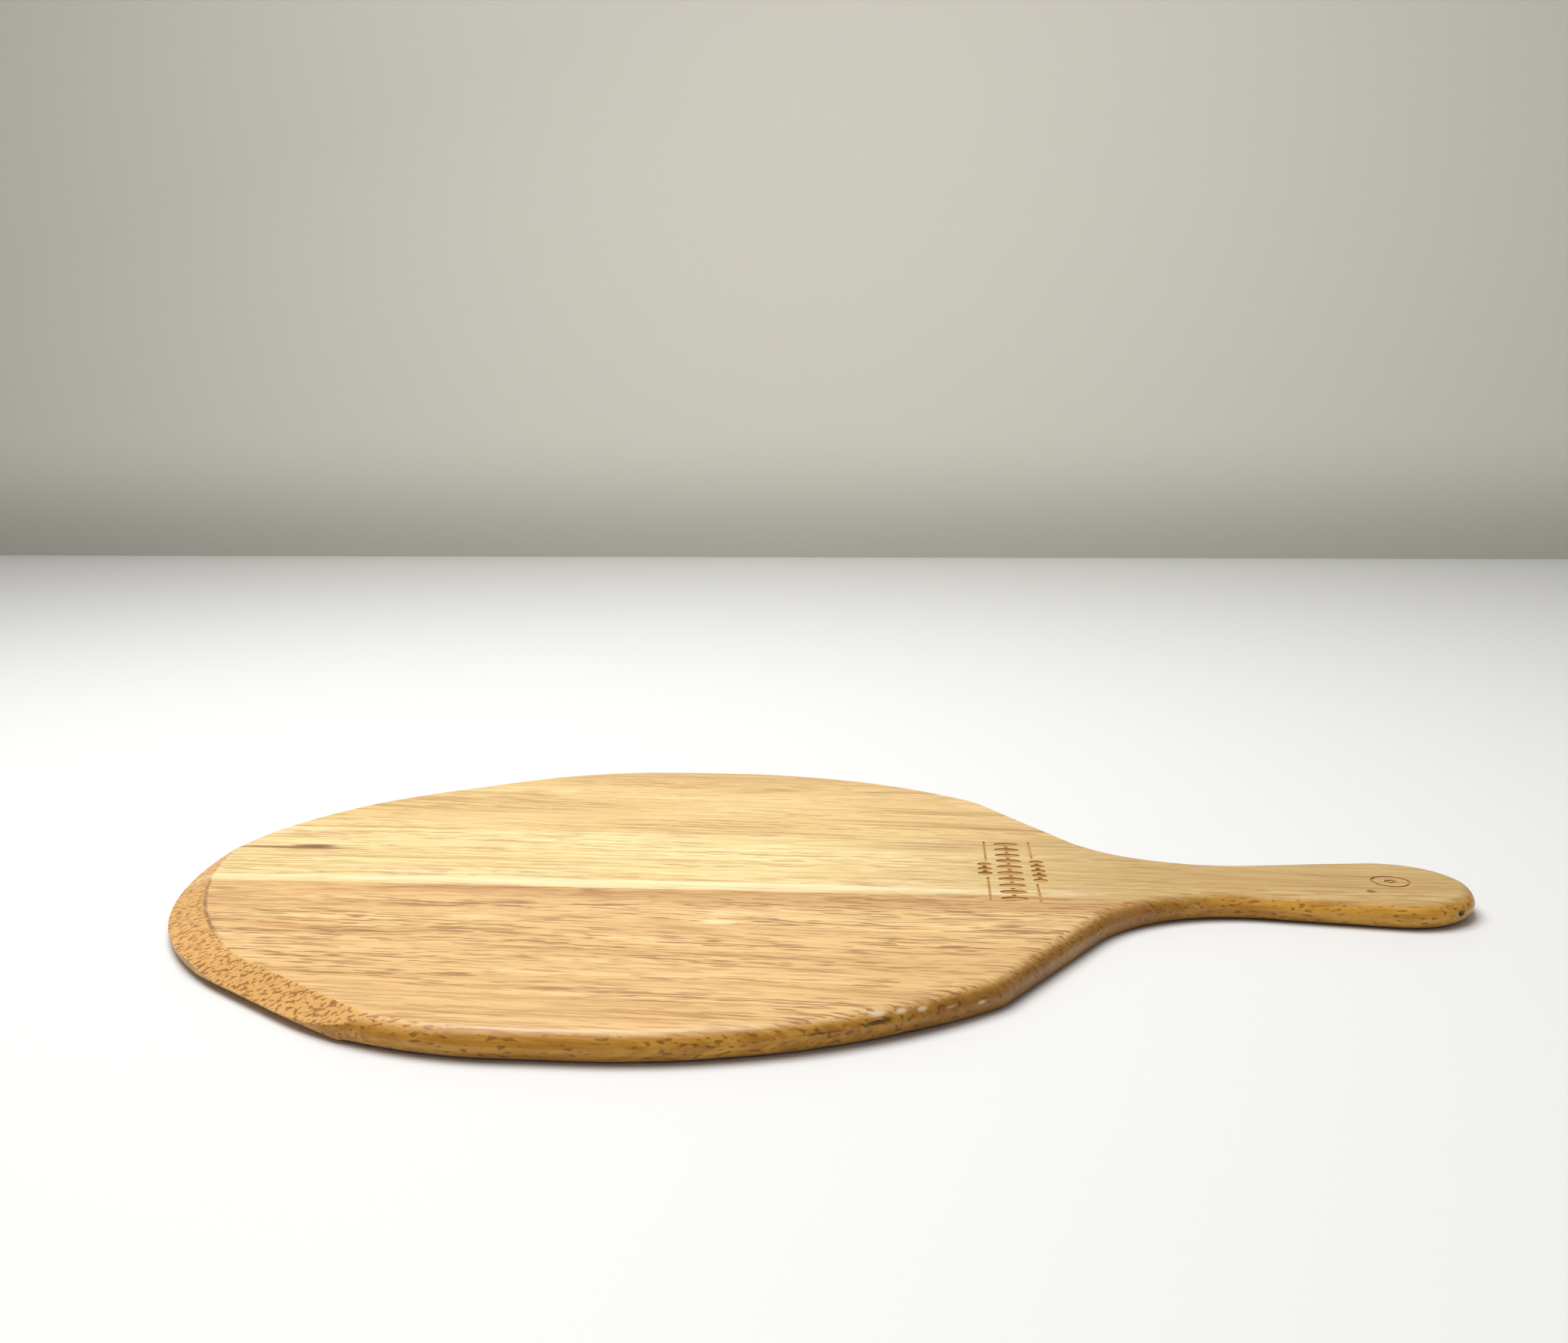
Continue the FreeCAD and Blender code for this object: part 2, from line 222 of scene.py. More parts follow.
def hardwood(name):
    """Rubberwood or a near relation, planed, sanded and given a clear satin lacquer.

    Open pores draw short dark strokes along the grain. Where the rim cuts across the wood the same
    pores show as dots, and the thirsty end grain takes the lacquer as a deeper golden brown.
    """
    wood = WOODS[name]
    material, tree, shader = new_material(name)
    coordinates = add(tree, "ShaderNodeTexCoord")
    place = add(tree, "ShaderNodeVectorMath", {
        0: coordinates.outputs["Object"], 1: (1 / MM,) * 3}, operation="MULTIPLY").outputs[0]
    axes = add(tree, "ShaderNodeSeparateXYZ", {0: place})
    x, y, z = axes.outputs

    # the grain line through each point
    wander = maths(tree, "MULTIPLY", maths(tree, "SUBTRACT", noise_of(tree, place, 110, 30, 1), 0.5),
                   2 * wood["wander"])
    across = maths(tree, "ADD", maths(tree, "ADD", y, wander), maths(tree, "MULTIPLY", x, wood["slope"]))
    grain = add(tree, "ShaderNodeCombineXYZ", {0: x, 1: across, 2: z}).outputs[0]

    # pores: strokes 3 to 12 mm long, thicker on the ground in some bands than in others. They are drawn
    # about 0.5 mm wide, two or three times their real width, so that they show
    pores = ramp(tree, noise_of(tree, grain, 12, 1.05, detail=1, roughness=0.6), 0.50, 0.61)
    pore_field = ramp(tree, noise_of(tree, grain, 120, 12), 0.36, 0.62, 0.40, 1.0)
    streaks = noise_of(tree, grain, 100, 2.3, detail=4, roughness=0.68)
    clouds = noise_of(tree, grain, 170, 16, detail=2)

    # growth rings, cut nearly flat: pointed arches along the middle of the board
    off_pith = maths(tree, "SUBTRACT", across, wood["pith"])
    dish = maths(tree, "MULTIPLY", maths(tree, "MULTIPLY", off_pith, off_pith), 0.006)
    arch = maths(tree, "SUBTRACT", dish, maths(tree, "MULTIPLY", x, 0.045))
    ring_place = add(tree, "ShaderNodeCombineXYZ", {0: arch}).outputs[0]
    rings = noise_of(tree, ring_place, 0.9, 0.9, detail=2)

    shade = maths(tree, "MULTIPLY", maths(tree, "SUBTRACT", streaks, 0.5), 2.4 * wood["streaks"])
    shade = maths(tree, "ADD", shade, maths(tree, "MULTIPLY", maths(tree, "SUBTRACT", clouds, 0.5), 1.2))
    shade = maths(tree, "ADD", shade, maths(tree, "MULTIPLY", maths(tree, "SUBTRACT", rings, 0.5), 0.8))
    shade = maths(tree, "ADD", shade, 0.5)
    colour = mixed(tree, ramp(tree, shade, 0.0, 0.5), linear(wood["dark"]), linear(wood["middle"]))
    colour = mixed(tree, ramp(tree, shade, 0.5, 1.0), colour, linear(wood["light"]))

    # years of hands and ovens have darkened the wood towards the handle
    aged = maths(tree, "MULTIPLY", ramp(tree, x, -25.0, 125.0), wood["aged"])
    colour = mixed(tree, aged, colour, linear("#D0C2AC"), "MULTIPLY")

    pore_mask = maths(tree, "MULTIPLY", maths(tree, "MULTIPLY", pores, pore_field), wood["pores"])
    colour = mixed(tree, pore_mask, colour, linear(wood["pore"]))

    # the bevel cuts the fibres at a slant, and shows them as dense short dashes in a deeper gold,
    # drawn larger than life like the pores
    facing = add(tree, "ShaderNodeSeparateXYZ", {0: coordinates.outputs["Normal"]})
    flatness = maths(tree, "ABSOLUTE", facing.outputs[2])
    dashes = ramp(tree, noise_of(tree, place, 2.9, 0.95, detail=1), 0.50, 0.62)
    slanted = maths(tree, "MULTIPLY", ramp(tree, flatness, 0.985, 0.93), ramp(tree, x, -72.0, -100.0))
    bevel_colour = mixed(tree, maths(tree, "MULTIPLY", dashes, 0.9), linear("#E2AC62"), linear("#8E5620"))
    colour = mixed(tree, maths(tree, "MULTIPLY", slanted, 0.85), colour, bevel_colour)

    # the rim is deeper still, with small dark dots where it crosses the pores, again drawn larger than
    # life; painted shade darkens it further round the shoulder and the neck, which get less light
    steep = maths(tree, "MAXIMUM", ramp(tree, flatness, 0.76, 0.40),
                  maths(tree, "MULTIPLY", ramp(tree, flatness, 0.96, 0.55), ramp(tree, x, -100.0, -72.0)))
    # painted shade: the rim made darker from the shoulder to the neck
    rim_painted_shade = maths(tree, "MULTIPLY", ramp(tree, x, -10.0, 65.0), ramp(tree, x, 150.0, 105.0))
    rim_shade = mixed(tree, ramp(tree, shade, 0.1, 0.9), linear("#B2771F"), linear("#D9A03D"))
    rim_shade = mixed(tree, maths(tree, "MULTIPLY", rim_painted_shade, 0.6), rim_shade, linear("#84541A"))
    dots = ramp(tree, noise_of(tree, place, 2.8, 1.0, detail=0), 0.60, 0.74)
    rim_colour = mixed(tree, maths(tree, "MULTIPLY", dots, 0.62), rim_shade, linear("#5E370E"))
    colour = mixed(tree, steep, colour, rim_colour)

    ragged = noise_of(tree, grain, 9, 1.6, detail=2)
    for centre, radii, hex_colour, strength in wood["patches"]:
        mask = maths(tree, "MULTIPLY", spot(tree, place, centre, radii, ragged), strength)
        colour = mixed(tree, mask, colour, linear(hex_colour))

    # a dark line along the crease of the bevel, where the sander stopped
    if name == "pinkish_hardwood":
        flat_place = add(tree, "ShaderNodeCombineXYZ", {0: x, 1: y}).outputs[0]
        from_centre = add(tree, "ShaderNodeVectorMath", {
            0: flat_place, 1: (BEVEL_CENTRE.x, BEVEL_CENTRE.y, 0)}, operation="DISTANCE").outputs["Value"]
        off_crease = maths(tree, "ABSOLUTE", maths(tree, "SUBTRACT", from_centre, BEVEL_RADIUS + 0.2))
        line = maths(tree, "MULTIPLY", ramp(tree, off_crease, 0.9, 0.3), ramp(tree, y, -88.0, -78.0))
        line = maths(tree, "MULTIPLY", line, ramp(tree, ragged, 0.35, 0.55, 0.25, 0.7))
        colour = mixed(tree, line, colour, linear("#7B5230"))

    grain_bump = maths(tree, "SUBTRACT", maths(tree, "MULTIPLY", streaks, 0.35), pore_mask)
    bump = add(tree, "ShaderNodeBump", {"Height": grain_bump, "Strength": 0.25, "Distance": 0.12 * MM})
    tree.links.new(colour, shader.inputs["Base Color"])
    tree.links.new(ramp(tree, pore_mask, 0.0, 1.0, 0.38, 0.62), shader.inputs["Roughness"])
    tree.links.new(bump.outputs["Normal"], shader.inputs["Normal"])
    shader.inputs["IOR"].default_value = 1.45
    shader.inputs["Specular IOR Level"].default_value = 0.4
    shader.inputs["Coat Weight"].default_value = 0.15
    shader.inputs["Coat Roughness"].default_value = 0.25
    return material


def wood_glue():
    """Carpenter's glue, dried in the joint: a thin line, a little darker than the wood."""
    material, _, shader = new_material("wood_glue")
    shader.inputs["Base Color"].default_value = linear("#B98B55")
    shader.inputs["Roughness"].default_value = 0.45
    return material


def burnt_wood():
    """The floor of a shallow mark burnt into the wood: toasted brown and dull."""
    material, tree, shader = new_material("burnt_wood")
    coordinates = add(tree, "ShaderNodeTexCoord")
    place = add(tree, "ShaderNodeVectorMath", {
        0: coordinates.outputs["Object"], 1: (1 / MM,) * 3}, operation="MULTIPLY").outputs[0]
    patches = noise_of(tree, place, 4, 1.2, detail=3)
    colour = mixed(tree, ramp(tree, patches, 0.3, 0.7), linear("#9C6A2C"), linear("#C2924D"))
    tree.links.new(colour, shader.inputs["Base Color"])
    shader.inputs["Roughness"].default_value = 0.7
    return material


# ---- the peel's shape ----
def unit(angle):
    """The direction at this angle from +X."""
    return Vector((math.cos(angle), math.sin(angle)))


def along_arc(centre, radius, start, end, step, bulge=1):
    """Places and outward directions along an arc, without its last point. A bulge of -1 is a hollow."""
    count = max(2, round(abs(end - start) * radius / step))
    angles = [start + (end - start) * i / count for i in range(count)]
    return [(centre + unit(a) * radius, unit(a) * bulge) for a in angles]


def along_line(start, end, outward, step):
    """Places and outward directions along a line, without its last point."""
    count = max(2, round((end - start).length / step))
    return [(start.lerp(end, i / count), outward) for i in range(count)]


def half_outline():
    """From the front of the blade along its +Y side to the handle's end."""
    quarter = math.pi / 2
    shoulder = Vector((SHOULDER_X, math.sqrt(BLADE_RADIUS**2 - (SHOULDER_X - REAR_CENTRE.x)**2)))
    # the flank: from the shoulder to where it meets the hollow of the neck
    away = shoulder - NECK_CENTRE
    neck_start = math.atan2(away.y, away.x) + math.acos(NECK_RADIUS / away.length)
    flank_normal = -unit(neck_start)
    flank_angle = math.atan2(flank_normal.y, flank_normal.x)
    # the small arc that softens the shoulder, inside both the blade's arc and the flank
    reach = (shoulder - REAR_CENTRE) @ flank_normal - SHOULDER_SOFTENING
    soft_start = flank_angle + math.acos(reach / (BLADE_RADIUS - SHOULDER_SOFTENING))
    soft_centre = REAR_CENTRE + unit(soft_start) * (BLADE_RADIUS - SHOULDER_SOFTENING)
    # the handle's taper: under the hollow and over the knob
    between = NECK_CENTRE - KNOB_CENTRE
    taper_angle = math.atan2(between.y, between.x) - math.acos((NECK_RADIUS + KNOB_RADIUS) / between.length)
    taper_normal = unit(taper_angle)

    # the straight side of the nose, over the nose's arc and the cheek's
    apart = CHEEK_CENTRE - NOSE_CENTRE
    chord_angle = math.atan2(apart.y, apart.x) + math.acos((NOSE_RADIUS - CHEEK_RADIUS) / apart.length)
    chord_normal = unit(chord_angle)

    chord_front = NOSE_CENTRE + chord_normal * NOSE_RADIUS
    chord_back = CHEEK_CENTRE + chord_normal * CHEEK_RADIUS
    cheek_top = CHEEK_CENTRE + unit(quarter) * CHEEK_RADIUS
    rear_top = REAR_CENTRE + unit(quarter) * BLADE_RADIUS
    flank_top = soft_centre + flank_normal * SHOULDER_SOFTENING
    neck_top = NECK_CENTRE + unit(neck_start) * NECK_RADIUS
    taper_left = NECK_CENTRE - taper_normal * NECK_RADIUS
    taper_right = KNOB_CENTRE + taper_normal * KNOB_RADIUS
    taper_start = 2 * math.pi + math.atan2(-taper_normal.y, -taper_normal.x)
    neck_start %= 2 * math.pi
    return (
        along_arc(NOSE_CENTRE, NOSE_RADIUS, math.pi, chord_angle, 0.9)
        + along_line(chord_front, chord_back, chord_normal, 0.9)
        + along_arc(CHEEK_CENTRE, CHEEK_RADIUS, chord_angle, quarter, 0.9)
        + along_line(cheek_top, rear_top, Vector((0, 1)), 1.0)
        + along_arc(REAR_CENTRE, BLADE_RADIUS, quarter, soft_start, 0.8)
        + along_arc(soft_centre, SHOULDER_SOFTENING, soft_start, flank_angle, 0.6)
        + along_line(flank_top, neck_top, flank_normal, 1.0)
        + along_arc(NECK_CENTRE, NECK_RADIUS, neck_start, taper_start, 0.8, -1)
        + along_line(taper_left, taper_right, taper_normal, 0.8)
        + along_arc(KNOB_CENTRE, KNOB_RADIUS, taper_angle, 0, 0.4)
        + [(KNOB_CENTRE + Vector((KNOB_RADIUS, 0)), Vector((1, 0)))]
    )


def whole_outline():
    """All the way round, anticlockwise from the front: the -Y side, then the +Y side back."""
    half = half_outline()
    other = [(Vector((p.x, -p.y)), Vector((n.x, -n.y))) for p, n in half]
    return other + half[-2:0:-1]


def soft_min(a, b, width):
    """The lower of two heights, with the corner between them sanded off."""
    h = min(1.0, max(0.0, 0.5 + 0.5 * (b - a) / width))
    return b + (a - b) * h - width * h * (1 - h)


def round_over(inward, reach):
    """Height over the rim's ridge, as a share of the full, this far in from the edge."""
    if inward >= reach:
        return 1.0
    turn = math.acos(math.cos(RIM_START) * (1 - inward / reach))
    return (math.sin(turn) - math.sin(RIM_START)) / (1 - math.sin(RIM_START))


def ridge_height(place):
    """Where the upper and lower round-overs meet: the middle, but higher on one stretch."""
    stretch = math.exp(-((place.x - 13) / 26) ** 2) if place.y < -60 else 0.0
    return THICKNESS / 2 + 1.0 * stretch


def bevel_height(place):
    """Height of the upper bevel's two faces over a place: a cone, and a facet on the near side."""
    if place.x > THINNED_TO:
        return 2 * THICKNESS
    cone = THICKNESS - BEVEL_SLOPE * ((place - BEVEL_CENTRE).length - BEVEL_RADIUS)
    facet = THICKNESS - FACET_SLOPE * ((place - FACET_CENTRE) @ FACET_NORMAL - FACET_DISTANCE)
    return soft_min(cone, facet, 0.4)


def squarer(place):
    """How much less than elsewhere the lower edge is rounded, as a share.

    The lifted front goes to a thin edge, and round the near flank less was sanded off.
    """
    front = 0.93 * min(1.0, max(0.0, relief_height(place) / 1.2))
    flank = 0.65 * math.exp(-((place.x - 80) / 32) ** 4) if place.y < 0 else 0.0
    return max(front, flank)


def relief_height(place):
    """How far the underside has been lifted over a place."""
    if place.x > THINNED_TO:
        return -THICKNESS
    cone = RELIEF_SLOPE * ((place - RELIEF_CENTRE).length - RELIEF_RADIUS)
    return max(cone, LIFT_SLOPE * ((place - FACET_CENTRE) @ FACET_NORMAL - LIFT_DISTANCE))


def top_height(place, inward, ridge, reach):
    """Height of the upper surface at a place this far in from the edge."""
    rim = ridge + (THICKNESS - ridge) * round_over(inward, reach)
    return soft_min(rim, soft_min(bevel_height(place), THICKNESS, 0.22), 0.2)


def bottom_height(place, inward, ridge, reach):
    """Height of the underside at a place this far in from the edge."""
    rim = ridge * (1 - round_over(inward, reach * (1 - squarer(place))))
    return -soft_min(-rim, soft_min(-relief_height(place), 0.0, 0.4), 0.25)


DENTS = (  # centre, radii and depth of the knocks that the rim has taken
    (Vector((25.0, -131.0, 6.2)), Vector((5.0, 2.5, 0.7)), 0.5),
    (Vector((31.5, -127.5, 7.6)), Vector((4.5, 2.5, 0.6)), 0.25),
    (Vector((208.6, -20.4, 4.6)), Vector((1.5, 1.6, 1.1)), 1.1),
)


def knocked_in(point, outward):
    """A point of the rim, pushed in where something has hit it."""
    for centre, radii, depth in DENTS:
        away = point - centre
        share = sum((a / r) ** 2 for a, r in zip(away, radii))
        if share < 1:
            point = point - outward.to_3d() * depth * (1 - share) ** 2
    return point


def wave(index, count):
    """Hand sanding leaves the round-over's inner line a little uneven, from -1 to 1."""
    turn = 2 * math.pi * index / count
    return (math.sin(9 * turn + 1) + math.sin(23 * turn + 2) + 0.8 * math.sin(47 * turn)) / 2.8


def reached(is_flat, furthest=40.0):
    """How far in from the edge a surface becomes flat."""
    near, far = 0.0, 0.0
    while far < furthest and not is_flat(far):
        near, far = far, far + 0.5
    for _ in range(12):
        middle = (near + far) / 2
        near, far = (near, middle) if is_flat(middle) else (middle, far)
    return far


def column(place, outward, index, count):
    """Points from the flat top, over the rim, to the flat underside, at one place on the outline."""
    ridge = ridge_height(place)
    reach = RIM_REACH + 0.35 * wave(index, count)
    inside = lambda inward: place - outward * inward
    top = lambda inward: top_height(inside(inward), inward, ridge, reach)
    bottom = lambda inward: bottom_height(inside(inward), inward, ridge, reach)
    # where the two surfaces meet, which on the thinned front is just inside the outline
    near, far = 0.0, 3.0
    for _ in range(30):
        middle = (near + far) / 2
        near, far = (middle, far) if top(middle) < bottom(middle) else (near, middle)
    edge = far if top(0) < bottom(0) else 0.0
    crease = max(reach + 0.8, reached(lambda d: bevel_height(inside(d)) >= THICKNESS))
    lift = max(reach + 0.8, reached(lambda d: relief_height(inside(d)) <= 0))
    rim_steps, slope_steps = 13, 7
    turns = [math.pi / 2 * i / rim_steps for i in range(1, rim_steps + 1)]
    curve = [edge + (reach - edge) * (1 - math.cos(turn)) for turn in turns]

    def side(end, height, flat):
        slope = [reach + (end - 0.3 - reach) * i / slope_steps for i in range(1, slope_steps + 1)]
        distances = curve + slope + [end, end + 0.3, end + 1.0]
        heights = [height(d) for d in distances[:-1]] + [flat]
        return list(zip(distances, heights))

    upper = side(crease, top, THICKNESS)[::-1]
    lower = side(lift, bottom, 0.0)
    rim = [(edge, (top(edge) + bottom(edge)) / 2)]
    points = []
    for inward, height in upper + rim + lower:
        flat = inside(inward)
        points.append(knocked_in(Vector((flat.x, flat.y, height)), outward))
    return points


def whole_board():
    """The peel in one piece, before it is parted along the joints."""
    outline = whole_outline()
    columns = [column(p, n, i, len(outline)) for i, (p, n) in enumerate(outline)]
    rows = len(columns[0])
    shape = bmesh.new()
    made = [[shape.verts.new(v * MM) for v in points] for points in columns]
    for i, points in enumerate(made):
        following = made[(i + 1) % len(made)]
        for row in range(rows - 1):
            shape.faces.new((points[row], points[row + 1], following[row + 1], following[row]))
    shape.faces.new([points[0] for points in made])
    shape.faces.new([points[-1] for points in reversed(made)])
    bmesh.ops.recalc_face_normals(shape, faces=shape.faces)
    return shape


def parted(board, name, low, high, material):
    """The strip of the board between two joints, closed where it was cut."""
    strip = board.copy()
    for height, keep in ((low, 1), (high, -1)):
        if height is None:
            continue
        everything = strip.verts[:] + strip.edges[:] + strip.faces[:]
        cut = bmesh.ops.bisect_plane(strip, geom=everything, plane_co=(0, height * MM, 0),
                                     plane_no=(0, -keep, 0), clear_outer=True)
        edges = [e for e in cut["geom_cut"] if isinstance(e, bmesh.types.BMEdge)]
        bmesh.ops.contextual_create(strip, geom=edges)
    bmesh.ops.recalc_face_normals(strip, faces=strip.faces)
    mesh = bpy.data.meshes.new(name)
    strip.to_mesh(mesh)
    strip.free()
    mesh.materials.append(material)
    mesh.shade_smooth()
    mesh.set_sharp_from_angle(angle=SHARP)
    piece = bpy.data.objects.new(name, mesh)
    bpy.context.collection.objects.link(piece)
    return piece


# ---- the burnt marks: cutters that only carve, and are then thrown away ----
MARK_DEPTH = 0.35
MARK_LOW, MARK_HIGH = -32.0, 41.0  # from end to end across the board
RULE_XS = (58.1, 74.2)
RULE_WIDTH = 0.8
RULE_GAPS = ((-5.0, 15.0), (-12.0, 19.0))  # where each rule is broken
RING_CENTRE = Vector((191.8, 0))


def frieze_tree(name, burnt):
    """Geometry Nodes: a row of ovals with a bead between each two, as closed prisms."""
    tree = bpy.data.node_groups.new(name, "GeometryNodeTree")
    face = tree.interface
    for label, kind, value in (("Count", "NodeSocketInt", 12), ("Pitch", "NodeSocketFloat", 6 * MM),
                               ("Oval Width", "NodeSocketFloat", 2 * MM),
                               ("Oval Length", "NodeSocketFloat", 9 * MM),
                               ("Bead", "NodeSocketFloat", 1 * MM), ("Depth", "NodeSocketFloat", MM),
                               ("Start", "NodeSocketVector", (0, 0, 0))):
        face.new_socket(label, in_out="INPUT", socket_type=kind).default_value = value
    face.new_socket("Geometry", in_out="OUTPUT", socket_type="NodeSocketGeometry")
    given = add(tree, "NodeGroupInput").outputs
    height = maths(tree, "MULTIPLY", given["Depth"], 2.0)
    step = add(tree, "ShaderNodeCombineXYZ", {1: given["Pitch"]}).outputs[0]
    half_step = add(tree, "ShaderNodeVectorMath", {0: step, 1: (0.5,) * 3}, operation="MULTIPLY").outputs[0]
    bead_start = add(tree, "ShaderNodeVectorMath", {0: given["Start"], 1: half_step}).outputs[0]
    oval = add(tree, "GeometryNodeMeshCylinder", {"Vertices": 20, "Radius": 0.5, "Depth": height})
    bead = add(tree, "GeometryNodeMeshCylinder", {"Vertices": 14, "Radius": given["Bead"], "Depth": height})
    size = add(tree, "ShaderNodeCombineXYZ", {
        0: given["Oval Length"], 1: given["Oval Width"], 2: 1.0}).outputs[0]
    fewer = maths(tree, "SUBTRACT", given["Count"], 1.0)
    rows = []
    for count, start, shape, scale in ((given["Count"], given["Start"], oval, size),
                                       (fewer, bead_start, bead, (1.0, 1.0, 1.0))):
        line = add(tree, "GeometryNodeMeshLine", {
            "Count": count, "Start Location": start, "Offset": step})
        rows.append(add(tree, "GeometryNodeInstanceOnPoints", {
            "Points": line.outputs[0], "Instance": shape.outputs["Mesh"], "Scale": scale}).outputs[0])
    joined = add(tree, "GeometryNodeJoinGeometry")
    for row in rows:
        tree.links.new(row, joined.inputs[0])
    real = add(tree, "GeometryNodeRealizeInstances", {0: joined.outputs[0]})
    painted = add(tree, "GeometryNodeSetMaterial", {"Geometry": real.outputs[0], "Material": burnt})
    add(tree, "NodeGroupOutput", {0: painted.outputs[0]})
    return tree


def made_by(tree, **inputs):
    """The plain mesh that a Geometry Nodes tree makes with these inputs."""
    holder = bpy.data.objects.new("holder", bpy.data.meshes.new("holder"))
    bpy.context.collection.objects.link(holder)
    modifier = holder.modifiers.new("nodes", "NODES")
    modifier.node_group = tree
    sockets = {s.name: s.identifier for s in tree.interface.items_tree if s.in_out == "INPUT"}
    for name, value in inputs.items():
        modifier[sockets[name.replace("_", " ")]] = value
    graph = bpy.context.evaluated_depsgraph_get()
    mesh = bpy.data.meshes.new_from_object(holder.evaluated_get(graph))
    bpy.data.objects.remove(holder)
    return mesh


def plain_bar(low, high):
    """A closed box between two corners, in millimetres."""
    shape = bmesh.new()
    middle, size = (low + high) / 2 * MM, (high - low) * MM
    bmesh.ops.create_cube(shape, size=1.0, matrix=Matrix.LocRotScale(middle, None, size))
    return shape


def plain_ring(centre, radius, line):
    """A closed square-sectioned ring round a centre, in millimetres."""
    shape = bmesh.new()
    count = 48
    loops = []
    for reach in (radius - line / 2, radius + line / 2):
        for height in (THICKNESS - MARK_DEPTH, THICKNESS + MARK_DEPTH):
            loops.append([shape.verts.new(Vector((
                *(centre + unit(2 * math.pi * i / count) * reach), height)) * MM) for i in range(count)])
    inner_low, inner_high, outer_low, outer_high = loops
    for a, b in ((inner_low, outer_low), (outer_low, outer_high), (outer_high, inner_high),
                 (inner_high, inner_low)):
        for i in range(count):
            j = (i + 1) % count
            shape.faces.new((a[i], a[j], b[j], b[i]))
    bmesh.ops.recalc_face_normals(shape, faces=shape.faces)
    return shape


def mark_cutter(burnt):
    """Two broken rules across the board, a plain frieze between them and a ring on the handle."""
    tree = frieze_tree("frieze", burnt)
    level = THICKNESS * MM
    meshes = [
        made_by(tree, Count=10, Pitch=7.4 * MM, Start=(65.9 * MM, (MARK_LOW + 3.2) * MM, level),
                Oval_Width=4.4 * MM, Oval_Length=9.0 * MM, Bead=0.8 * MM, Depth=MARK_DEPTH * MM),
        made_by(tree, Count=3, Pitch=5.6 * MM, Start=(57.4 * MM, 0.0, level),
                Oval_Width=4.0 * MM, Oval_Length=5.0 * MM, Bead=0.8 * MM, Depth=MARK_DEPTH * MM),
        made_by(tree, Count=5, Pitch=5.6 * MM, Start=(75.6 * MM, -7.4 * MM, level),
                Oval_Width=4.0 * MM, Oval_Length=5.0 * MM, Bead=0.8 * MM, Depth=MARK_DEPTH * MM),
    ]
    whole = bmesh.new()
    for mesh in meshes:
        whole.from_mesh(mesh)
        bpy.data.meshes.remove(mesh)
    parts = [plain_ring(RING_CENTRE, 6.0, 0.9), plain_ring(RING_CENTRE, 1.4, 1.2)]
    for rule_x, (gap_low, gap_high) in zip(RULE_XS, RULE_GAPS):
        for low, high in ((MARK_LOW, gap_low), (gap_high, MARK_HIGH)):
            parts.append(plain_bar(Vector((rule_x - RULE_WIDTH / 2, low, THICKNESS - MARK_DEPTH)),
                                   Vector((rule_x + RULE_WIDTH / 2, high, THICKNESS + MARK_DEPTH))))
    for part in parts:
        mesh = bpy.data.meshes.new("part")
        part.to_mesh(mesh)
        part.free()
        whole.from_mesh(mesh)
        bpy.data.meshes.remove(mesh)
    mesh = bpy.data.meshes.new("marks")
    whole.to_mesh(mesh)
    whole.free()
    mesh.materials.clear()
    mesh.materials.append(burnt)
    cutter = bpy.data.objects.new("marks", mesh)
    bpy.context.collection.objects.link(cutter)
    return cutter


def carve(piece, cutter):
    """Cuts the marks into a piece; the floors and walls of the cuts take the cutter's material."""
    modifier = piece.modifiers.new("marks", "BOOLEAN")
    modifier.operation = "DIFFERENCE"
    modifier.solver = "EXACT"
    modifier.material_mode = "TRANSFER"
    modifier.object = cutter
    graph = bpy.context.evaluated_depsgraph_get()
    carved = bpy.data.meshes.new_from_object(piece.evaluated_get(graph))
    piece.modifiers.clear()
    piece.data = carved
    carved.set_sharp_from_angle(angle=SHARP)


# ---- the room: a white table before a pale wall, soft light from behind and above ----
def plain_paint(name, hex_colour, roughness):
    """A painted surface."""
    material, _, shader = new_material(name)
    shader.inputs["Base Color"].default_value = linear(hex_colour)
    shader.inputs["Roughness"].default_value = roughness
    return material


def wall_paint_and_shade():
    """Matt greige wall paint, with painted shade that makes it dimmer towards the foot of the wall."""
    material, tree, shader = new_material("greige_wall")
    coordinates = add(tree, "ShaderNodeTexCoord")
    height = add(tree, "ShaderNodeSeparateXYZ", {0: coordinates.outputs["Object"]}).outputs[2]
    # painted shade: the wall darkens towards its foot
    colour = mixed(tree, ramp(tree, height, 0.0, 0.16), linear("#BDBBAF"), linear("#E1DDD1"))
    tree.links.new(colour, shader.inputs["Base Color"])
    shader.inputs["Roughness"].default_value = 0.9
    return material


def sheet(name, corners, material):
    """A flat backdrop, which isn't part of the object."""
    mesh = bpy.data.meshes.new(name)
    mesh.from_pydata(corners, [], [range(len(corners))])
    mesh.materials.append(material)
    backdrop = bpy.data.objects.new(name, mesh)
    bpy.context.collection.objects.link(backdrop)


def room():
    """A white table under the peel and one wall, further off than any view is taken from."""
    floor = -0.0001
    table, wall, wall_y, ceiling = 4, 3, 1.4, 2.6
    sheet("table", [(-table, -table, floor), (table, -table, floor), (table, table, floor),
                    (-table, table, floor)], plain_paint("white_table", "#E1E1E0", 0.5))
    sheet("wall", [(-wall, wall_y, floor), (wall, wall_y, floor), (wall, wall_y, ceiling),
                   (-wall, wall_y, ceiling)], wall_paint_and_shade())


